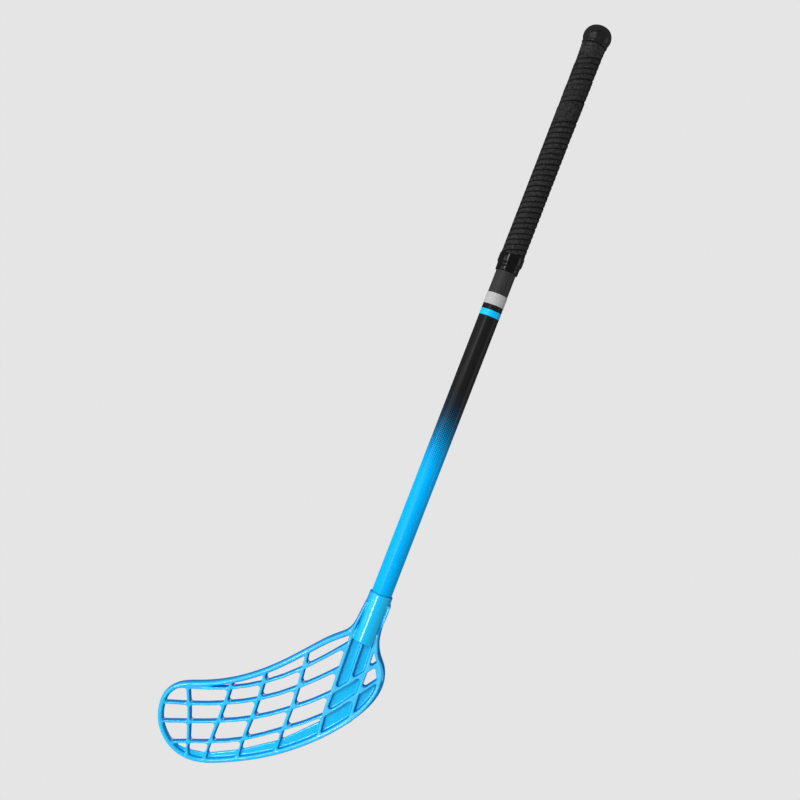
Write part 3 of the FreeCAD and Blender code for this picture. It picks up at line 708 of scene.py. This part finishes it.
# Colour of the painted shade in the grip's grooves
GROOVE_SHADE_TONE = (0.0014, 0.0014, 0.0014)
COLLAR_GLOSS_SPAN = (0.606, 0.612)
COLLAR_SMOOTHER = 0.34
BUMP_DISTANCE = 0.0004
LABEL_BLUES = ((0.0, 0.48, 0.91), (0.004, 0.50, 0.93))
LABEL_GREYS = ((0.395, 0.395, 0.40), (0.42, 0.42, 0.425))
TAPE_TONES = ((0.0006, 0.0006, 0.0006), (0.0014, 0.0014, 0.0014))
CAP_TONES = ((0.005, 0.005, 0.005), (0.008, 0.008, 0.008))
CARBON_TONES = ((0.025, 0.025, 0.026), (0.030, 0.030, 0.031))
STEEL_TONES = ((0.50, 0.51, 0.52), (0.66, 0.67, 0.68))
GLUE_TONES = ((0.74, 0.72, 0.64), (0.82, 0.80, 0.73))


def node(tree, kind, **inputs):
    made = tree.nodes.new(kind)
    for name, value in inputs.items():
        made.inputs[name.replace("_", " ")].default_value = value
    return made


def new_material(name, colour, roughness):
    """Material with its node tree and its shader; edge_gloss sets its gloss."""
    material = bpy.data.materials.new(name)
    material.use_nodes = True
    tree = material.node_tree
    shader = tree.nodes["Principled BSDF"]
    shader.inputs["Base Color"].default_value = colour + (1.0,)
    shader.inputs["Roughness"].default_value = roughness
    return material, tree, shader


def noise_on(tree, scale, detail=3.0, stretch=(1, 1, 1)):
    place = tree.nodes.new("ShaderNodeTexCoord")
    mapping = tree.nodes.new("ShaderNodeMapping")
    mapping.inputs["Scale"].default_value = stretch
    noise = node(tree, "ShaderNodeTexNoise", Scale=scale, Detail=detail)
    tree.links.new(place.outputs["Object"], mapping.inputs["Vector"])
    tree.links.new(mapping.outputs["Vector"], noise.inputs["Vector"])
    return noise.outputs["Fac"]


def ramp(tree, source, stops):
    made = tree.nodes.new("ShaderNodeValToRGB")
    elements = made.color_ramp.elements
    while len(elements) < len(stops):
        elements.new(0.5)
    for element, (place, colour) in zip(elements, stops):
        element.position = place
        element.color = tuple(colour) + (1.0,)
    tree.links.new(source, made.inputs["Fac"])
    return made.outputs["Color"]


def span(tree, source, low, high):
    made = tree.nodes.new("ShaderNodeMapRange")
    made.inputs["To Min"].default_value = low
    made.inputs["To Max"].default_value = high
    tree.links.new(source, made.inputs["Value"])
    return made.outputs["Result"]


def bump(tree, shader, source, strength, distance, after=None):
    made = node(tree, "ShaderNodeBump", Strength=strength, Distance=distance)
    tree.links.new(source, made.inputs["Height"])
    if after is not None:
        tree.links.new(after.outputs["Normal"], made.inputs["Normal"])
    tree.links.new(made.outputs["Normal"], shader.inputs["Normal"])
    return made


def maths(tree, operation, a, b=None):
    made = tree.nodes.new("ShaderNodeMath")
    made.operation = operation
    for slot, value in zip(made.inputs, (a, b)):
        if value is None:
            continue
        if isinstance(value, (int, float)):
            slot.default_value = value
        else:
            tree.links.new(value, slot)
    return made.outputs[0]


def edge_gloss(tree, shader, level):
    """Gloss that fades where the surface turns away."""
    weight = node(tree, "ShaderNodeLayerWeight", Blend=0.5)
    fade = tree.nodes.new("ShaderNodeMapRange")
    fade.interpolation_type = "SMOOTHSTEP"
    fade.inputs["From Min"].default_value, fade.inputs["From Max"].default_value = GLOSS_FADE
    fade.inputs["To Min"].default_value = level
    fade.inputs["To Max"].default_value = 0.0
    tree.links.new(weight.outputs["Facing"], fade.inputs["Value"])
    shader.inputs["Specular IOR Level"].default_value = level
    tree.links.new(fade.outputs["Result"], shader.inputs["Specular IOR Level"])


def mixed(tree, factor, first, second):
    """A colour of the tree mixed with a plain colour by a factor."""
    made = tree.nodes.new("ShaderNodeMix")
    made.data_type = "RGBA"
    # The node's colours are its inputs 6 and 7 and its output 2
    tree.links.new(factor, made.inputs["Factor"])
    tree.links.new(first, made.inputs[6])
    made.inputs[7].default_value = tuple(second) + (1.0,)
    return made.outputs[2]


def point_value(tree, name):
    made = tree.nodes.new("ShaderNodeAttribute")
    made.attribute_name = name
    return made.outputs["Fac"]


def blade_plastic():
    """Glossy moulded plastic, with painted shade on the sides of ribs and rim and a painted sheen on their
    faces.
    """
    material, tree, shader = new_material("blade_plastic", BLADE_BLUE, 0.24)
    colour = ramp(tree, noise_on(tree, scale=14, detail=4), [(0.3, BLADE_TONES[0]), (0.7, BLADE_TONES[1])])
    # Painted sheen on the faces of ribs and rim
    colour = mixed(tree, point_value(tree, "painted_sheen"), colour, BLADE_PAINTED_SHEEN)
    # Painted shade on the walls of ribs and rim
    colour = mixed(tree, point_value(tree, "side"), colour, BLADE_WALL_SHADE)
    tree.links.new(colour, shader.inputs["Base Color"])
    edge_gloss(tree, shader, level=0.26)
    rough = span(tree, noise_on(tree, scale=220, detail=4), low=0.13, high=0.18)
    tree.links.new(rough, shader.inputs["Roughness"])
    first = bump(tree, shader, noise_on(tree, scale=1500, detail=2), strength=0.02, distance=0.0002)
    bump(tree, shader, noise_on(tree, scale=70, detail=2), strength=0.03, distance=0.0008, after=first)
    return material


def shaft_print():
    """Blue film that fades to black in rows of fine dots."""
    material, tree, shader = new_material("shaft_print", FILM_BLUE, 0.28)
    place = tree.nodes.new("ShaderNodeTexCoord")
    split = tree.nodes.new("ShaderNodeSeparateXYZ")
    tree.links.new(place.outputs["Object"], split.inputs[0])
    above = maths(tree, "SUBTRACT", split.outputs["Z"], FILM_FADE_START)
    fade = maths(tree, "DIVIDE", above, FILM_FADE_LENGTH)
    turn = maths(tree, "ARCTAN2", split.outputs["Y"], split.outputs["X"])
    across = maths(tree, "SINE", maths(tree, "MULTIPLY", turn, DOTS_AROUND))
    along = maths(tree, "SINE", maths(tree, "MULTIPLY", split.outputs["Z"], DOTS_ALONG))
    dots = maths(tree, "MULTIPLY", across, along)
    grain = maths(tree, "SUBTRACT", noise_on(tree, scale=160, detail=3), 0.5)
    grain = maths(tree, "MULTIPLY", grain, GRAIN_SHARE)
    dotted = maths(tree, "ADD", fade, maths(tree, "MULTIPLY", dots, DOT_SHARE))
    colour = ramp(tree, maths(tree, "ADD", dotted, grain), FILM_STOPS)
    tree.links.new(colour, shader.inputs["Base Color"])
    edge_gloss(tree, shader, level=0.06)
    rough = span(tree, noise_on(tree, scale=300, detail=3), low=0.24, high=0.32)
    tree.links.new(rough, shader.inputs["Roughness"])
    bump(tree, shader, noise_on(tree, scale=60, detail=2), strength=0.006, distance=BUMP_DISTANCE)
    return material


def plain_gloss(name, tones, roughness, specular, scale, strength, stretch=(1, 1, 1)):
    """Material of two close tones, with slight changes of roughness and a fine bump."""
    low, high = tones
    material, tree, shader = new_material(name, high, roughness)
    tone = ramp(tree, noise_on(tree, scale, 4, stretch), [(0.35, low), (0.65, high)])
    tree.links.new(tone, shader.inputs["Base Color"])
    edge_gloss(tree, shader, specular)
    rough = span(tree, noise_on(tree, scale * 3, 3), roughness * 0.85, roughness * 1.15)
    tree.links.new(rough, shader.inputs["Roughness"])
    bump(tree, shader, noise_on(tree, scale * 2, 3, stretch), strength, BUMP_DISTANCE)
    return material


def grip_rubber():
    """Matte band with painted shade in its grooves, creases and under the cap, and smoother in the collar
    under the cap.
    """
    material, tree, shader = new_material("grip_band", GRIP_TONE, 0.45)
    tone = ramp(tree, noise_on(tree, scale=420, detail=5), [(0.3, GRIP_TONES[0]), (0.72, GRIP_TONES[1])])
    # Painted shade in grooves, creases and under the cap
    colour = mixed(tree, point_value(tree, "groove_shade"), tone, GROOVE_SHADE_TONE)
    tree.links.new(colour, shader.inputs["Base Color"])
    place = tree.nodes.new("ShaderNodeTexCoord")
    split = tree.nodes.new("ShaderNodeSeparateXYZ")
    tree.links.new(place.outputs["Object"], split.inputs[0])
    collar = tree.nodes.new("ShaderNodeMapRange")
    collar.inputs["From Min"].default_value, collar.inputs["From Max"].default_value = COLLAR_GLOSS_SPAN
    tree.links.new(split.outputs["Z"], collar.inputs["Value"])
    smoother = maths(tree, "MULTIPLY", collar.outputs["Result"], COLLAR_SMOOTHER)
    rough = span(tree, noise_on(tree, scale=500, detail=3), low=0.55, high=0.72)
    tree.links.new(maths(tree, "SUBTRACT", rough, smoother), shader.inputs["Roughness"])
    edge_gloss(tree, shader, level=0.06)
    first = bump(tree, shader, noise_on(tree, scale=1400, detail=3), strength=0.20, distance=BUMP_DISTANCE)
    weave = noise_on(tree, scale=420, detail=3, stretch=(1, 1, 1.6))
    bump(tree, shader, weave, strength=0.25, distance=0.0006, after=first)
    return material


# Pieces
def heights(box):
    """Lower and upper end of a box, in millimetres."""
    return [corner[2] / MM for corner in box]


def dress_sleeves():
    film_top = heights(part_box("shaft_film"))[1]
    film = lathe("film_sleeve", soft_band(FILM_BORE, FILM_RADIUS, FILM_FOOT, film_top, SLEEVE_EDGE))
    dress(film, "shaft_film", shaft_print())

    blue = plain_gloss("label_blue", LABEL_BLUES, roughness=0.32, specular=0.12, scale=60, strength=0.002)
    low, high = heights(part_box("size_label"))
    label = lathe("size_sticker", soft_band(LABEL_BORE, LABEL_RADIUS, low, high, SLEEVE_EDGE))
    dress(label, "size_label", blue)

    grey = plain_gloss("label_grey", LABEL_GREYS, roughness=0.32, specular=0.12, scale=60, strength=0.002)
    low, high = heights(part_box("rating_label"))
    label = lathe("rating_sticker", soft_band(LABEL_BORE, LABEL_RADIUS, low, high, SLEEVE_EDGE))
    dress(label, "rating_label", grey)


def dress_tape():
    """Tape in two rings, the upper one over the grip's lower end."""
    tape = plain_gloss("tape_gloss", TAPE_TONES, roughness=0.11, specular=0.10, scale=120, strength=0.002,
                       stretch=(1, 1, 3))
    foot, top = heights(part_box("finishing_tape"))
    profile = [(radius, foot + rise) for radius, rise in TAPE_FROM_FOOT]
    profile += [(radius, top + rise) for radius, rise in TAPE_FROM_TOP]
    profile += [(radius, foot + rise) for radius, rise in TAPE_INNER_STEP]
    dress(lathe("tape_ring", profile), "finishing_tape", tape)


def dress_cap():
    """Cap with a rolled lip, a groove and a full crown."""
    rubber = plain_gloss("cap_rubber", CAP_TONES, roughness=0.32, specular=0.12, scale=200, strength=0.015)
    profile = list(CAP_LIP)
    for number in range(CROWN_STEPS + 1):
        turn = math.radians(90 * number / CROWN_STEPS)
        radius = max(CAP_RADIUS * math.cos(turn) ** CROWN_POWER, CAP_TIP_RADIUS)
        profile.append((radius, CROWN_FOOT + CROWN_HEIGHT * math.sin(turn)))
    profile += [(CAP_TIP_RADIUS, TUBE_TOP), (CAP_BORE, TUBE_TOP)]
    dress(lathe("butt_knob", profile), "butt_cap", rubber)


def dress_solids():
    """Materials for the pieces that keep their CAD shape."""
    carbon = plain_gloss("shaft_composite", CARBON_TONES, roughness=0.45, specular=0.08, scale=200,
                         strength=0.012, stretch=(1, 1, 0.2))
    steel = plain_gloss("screw_steel", STEEL_TONES, roughness=0.30, specular=0.5, scale=400, strength=0.05)
    steel.node_tree.nodes["Principled BSDF"].inputs["Metallic"].default_value = 1.0
    glue = plain_gloss("glue", GLUE_TONES, roughness=0.4, specular=0.5, scale=120, strength=0.1)
    for name, material in (("shaft_tube", carbon), ("blade_screws", steel), ("blade_glue", glue)):
        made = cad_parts[name]
        made.data.materials.clear()
        made.data.materials.append(material)


# Stage, light and camera, in metres, degrees and watts
PALE = (0.783, 0.783, 0.783, 1.0)
WHITE = (1.0, 1.0, 1.0, 1.0)
WORLD_LIGHT = 0.25
FLOOR_SIZE = 30.0
FLOOR_LEVEL = -0.80
FLOOR_FADE = (0.3, 0.75)
FLOOR_LEAST_GLOW = 0.5
MIDDLE_HEIGHT = 0.2

# Lights: name, turn from the camera, rise, distance, width, height and power
LIGHTS = (
    ("key_low", -31, -18.5, 2.3, 0.36, 0.30, 19),
    ("key_high", -36, 17, 2.3, 0.40, 0.60, 18),
    ("side", -60, -2, 2.2, 1.2, 1.3, 20),
    ("fill", 80, 5, 2.4, 1.0, 1.4, 11),
    ("back", 180, 14, 2.4, 1.6, 1.6, 44))
SENSOR_WIDTH = 36.0
LENS = 44.25
CAMERA_DISTANCE = 1.0423
CAMERA_ROLL = 21.2
AIM_SIDEWAYS = -0.0561
AIM_HEIGHT = 0.1982


def pale_rays(tree):
    """One for rays of the camera, of reflections and of clear materials."""
    path = tree.nodes.new("ShaderNodeLightPath")
    mirrored = maths(tree, "MAXIMUM", path.outputs["Is Glossy Ray"], path.outputs["Is Transmission Ray"])
    return maths(tree, "MAXIMUM", path.outputs["Is Camera Ray"], mirrored)


def mix_shaders(tree, factor, first, second, output):
    """Two shaders mixed by a factor and led to the tree's output node."""
    mix = tree.nodes.new("ShaderNodeMixShader")
    out = tree.nodes.new(output)
    tree.links.new(factor, mix.inputs["Fac"])
    tree.links.new(first.outputs[0], mix.inputs[1])
    tree.links.new(second.outputs[0], mix.inputs[2])
    tree.links.new(mix.outputs[0], out.inputs["Surface"])


def make_world():
    """Pale background that lights the object only a little."""
    world = bpy.data.worlds.new("studio")
    bpy.context.scene.world = world
    world.use_nodes = True
    tree = world.node_tree
    tree.nodes.clear()
    shown = node(tree, "ShaderNodeBackground", Color=PALE, Strength=1.0)
    light = node(tree, "ShaderNodeBackground", Color=WHITE, Strength=WORLD_LIGHT)
    mix_shaders(tree, pale_rays(tree), light, shown, "ShaderNodeOutputWorld")


def make_floor():
    """Floor that shows some shade below the object and runs into the background further out."""
    size, level = FLOOR_SIZE, FLOOR_LEVEL
    corners = [(-size, -size, level), (size, -size, level), (size, size, level), (-size, size, level)]
    floor = new_mesh("floor", corners, [(0, 1, 2, 3)], smooth=False)
    material = bpy.data.materials.new("floor")
    material.use_nodes = True
    tree = material.node_tree
    tree.nodes.clear()
    place = tree.nodes.new("ShaderNodeTexCoord")
    flat = tree.nodes.new("ShaderNodeVectorMath")
    flat.operation = "MULTIPLY"
    flat.inputs[1].default_value = (1, 1, 0)
    tree.links.new(place.outputs["Object"], flat.inputs[0])
    length = tree.nodes.new("ShaderNodeVectorMath")
    length.operation = "LENGTH"
    tree.links.new(flat.outputs[0], length.inputs[0])
    far = tree.nodes.new("ShaderNodeMapRange")
    far.interpolation_type = "SMOOTHSTEP"
    far.inputs["From Min"].default_value, far.inputs["From Max"].default_value = FLOOR_FADE
    far.inputs["To Min"].default_value = FLOOR_LEAST_GLOW
    tree.links.new(length.outputs["Value"], far.inputs["Value"])
    matte = tree.nodes.new("ShaderNodeBsdfDiffuse")
    tree.links.new(span(tree, noise_on(tree, scale=6, detail=2), low=0.76, high=0.80), matte.inputs["Color"])
    glow = node(tree, "ShaderNodeEmission", Color=PALE, Strength=1.0)
    shown = maths(tree, "MULTIPLY", pale_rays(tree), far.outputs["Result"])
    mix_shaders(tree, shown, matte, glow, "ShaderNodeOutputMaterial")
    floor.data.materials.append(material)


def add_light(name, place, target, width, height, power):
    """Rectangular lamp that faces a target."""
    data = bpy.data.lights.new(name, "AREA")
    data.shape = "RECTANGLE"
    data.size = width
    data.size_y = height
    data.energy = power
    made = bpy.data.objects.new(name, data)
    bpy.context.scene.collection.objects.link(made)
    made.location = place
    made.rotation_euler = (Vector(place) - Vector(target)).to_track_quat("Z", "Y").to_euler()


def make_lights(to_camera, right):
    middle = Vector((0, 0, MIDDLE_HEIGHT))
    for name, turn, rise, distance, width, height, power in LIGHTS:
        turn, rise = math.radians(turn), math.radians(rise)
        flat = to_camera * math.cos(turn) + right * math.sin(turn)
        place = middle + (flat * math.cos(rise) + Vector((0, 0, math.sin(rise)))) * distance
        add_light(name, place, middle, width, height, power)


def make_camera(to_camera, right):
    data = bpy.data.cameras.new("camera")
    data.sensor_width = SENSOR_WIDTH
    data.lens = LENS
    camera = bpy.data.objects.new("camera", data)
    bpy.context.scene.collection.objects.link(camera)
    roll = math.radians(CAMERA_ROLL)
    up = Vector((0, 0, 1))
    image_right = up * math.sin(roll) + right * math.cos(roll)
    image_up = up * math.cos(roll) - right * math.sin(roll)
    turn = Matrix((image_right, image_up, to_camera)).transposed().to_4x4()
    aim = right * AIM_SIDEWAYS + Vector((0, 0, AIM_HEIGHT))
    camera.matrix_world = Matrix.Translation(aim + to_camera * CAMERA_DISTANCE) @ turn
    bpy.context.scene.camera = camera


dress(make_blade(), "blade", blade_plastic())
dress_sleeves()
dress(make_grip(), "grip_wrap", grip_rubber())
dress_tape()
dress_cap()
dress_solids()
make_world()
make_floor()
camera_way = Vector((math.sin(TURN), -math.cos(TURN), 0))
right_way = Vector((math.cos(TURN), math.sin(TURN), 0))
make_lights(camera_way, right_way)
make_camera(camera_way, right_way)
bpy.context.scene.view_settings.view_transform = "Standard"
